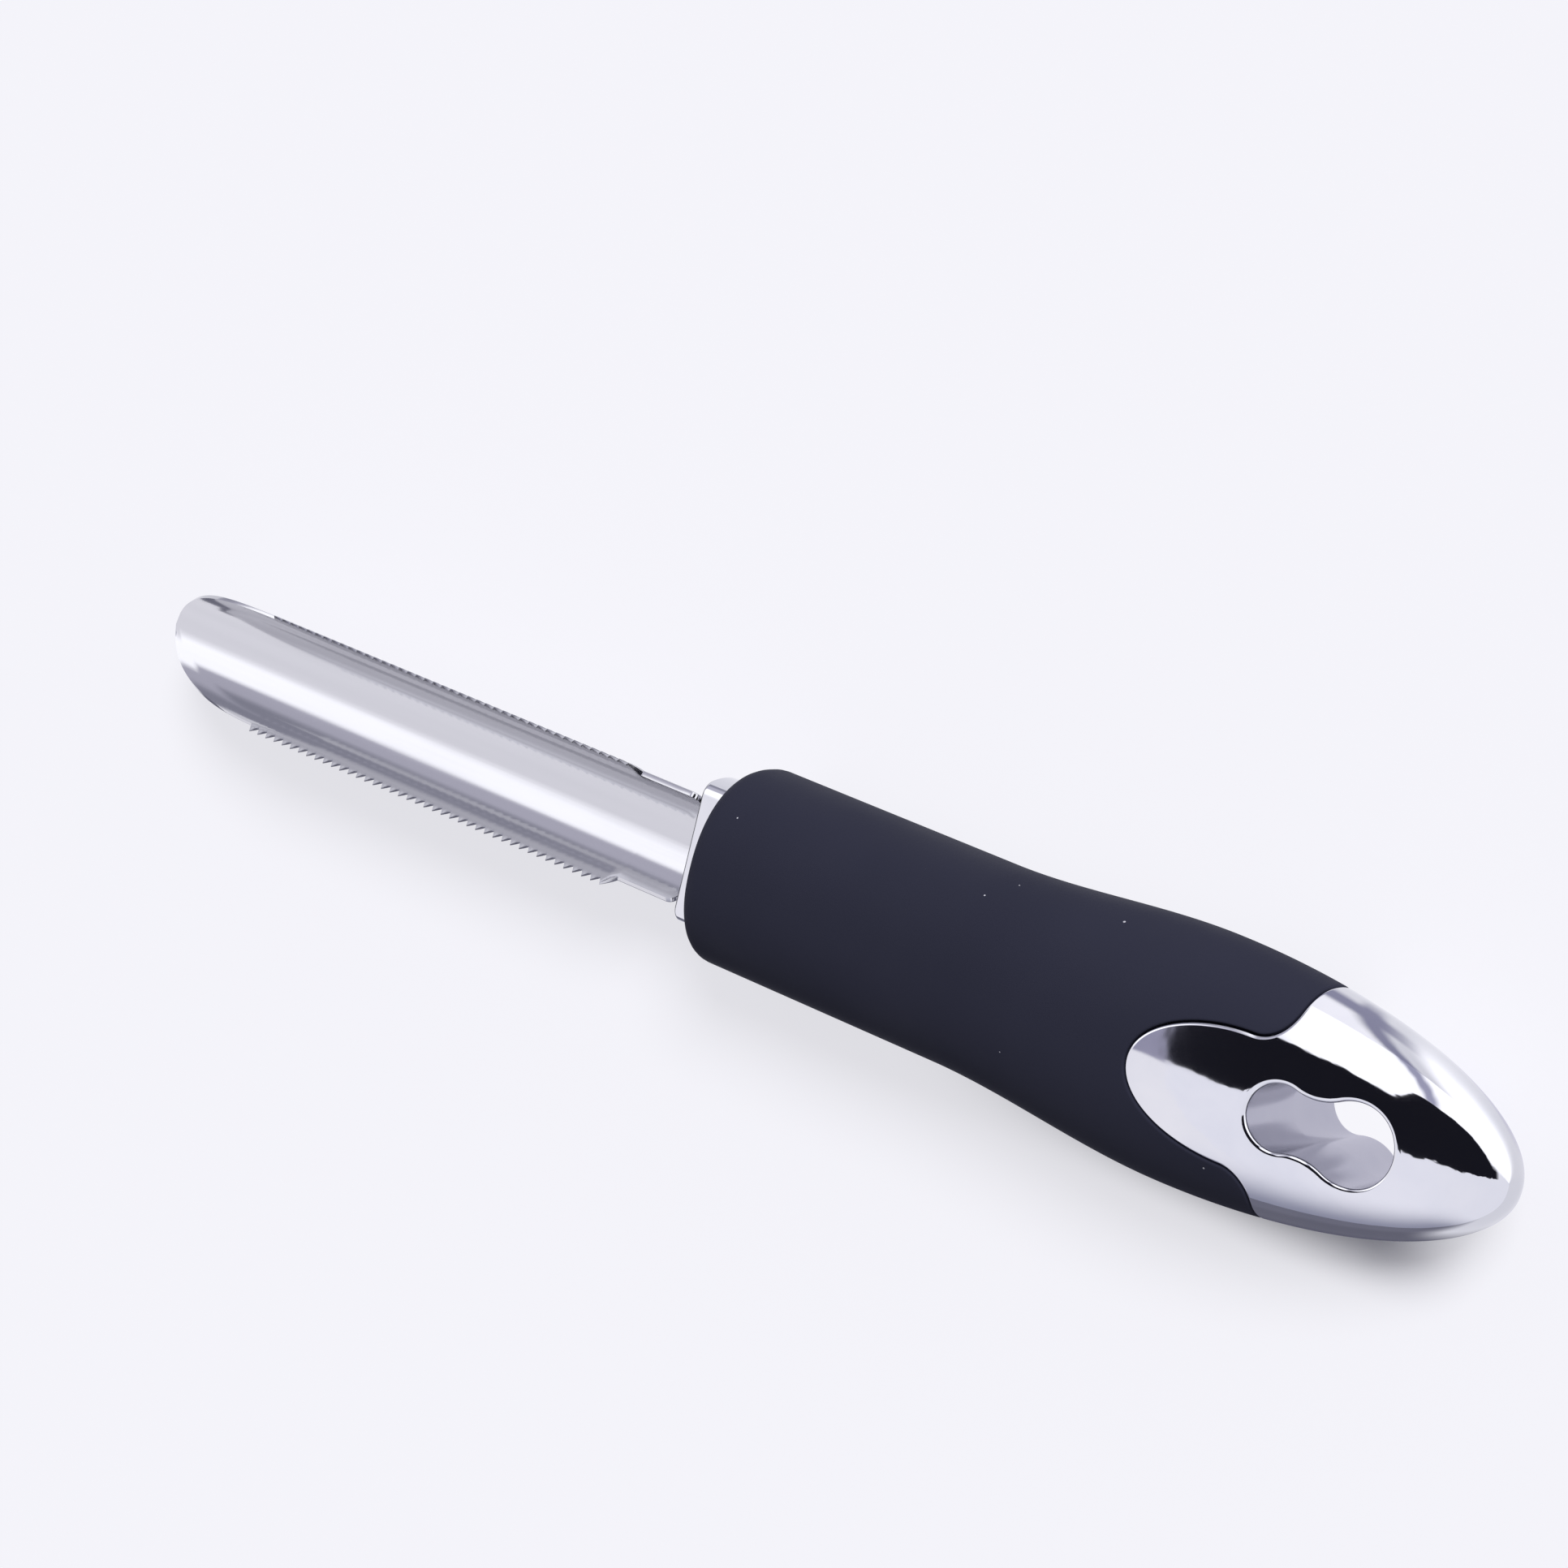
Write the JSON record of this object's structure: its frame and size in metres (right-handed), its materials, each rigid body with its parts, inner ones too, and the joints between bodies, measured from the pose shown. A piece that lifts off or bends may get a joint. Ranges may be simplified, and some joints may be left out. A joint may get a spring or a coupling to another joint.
{
  "type": "pepper corer",
  "caption": "Hand corer with a serrated steel trough blade, a chrome collar, a soft black grip and a chrome end cap with a hanging hole.",
  "frame": {"origin": "on the surface that the corer lies on, under the middle of its length", "axes": "+X along the tool to the butt, +Y across the handle, +Z out of the open side of the blade's trough"},
  "size_m": [0.225, 0.0322, 0.0238],
  "materials": {
    "blade_steel": "polished stainless with fine lengthwise streaks",
    "chrome": "mirror plating",
    "core_plastic": "as moulded, hidden",
    "pin_steel": "plain steel pin, hidden",
    "soft_grip": "matte soft-touch black"
  },
  "bodies": {
    "root": {"blade": "blade_steel", "collar": "chrome", "handle_core": "core_plastic", "tang_pin_front": "pin_steel", "tang_pin_rear": "pin_steel", "grip_sleeve": "soft_grip", "end_cap": "chrome"}
  },
  "joints": []
}
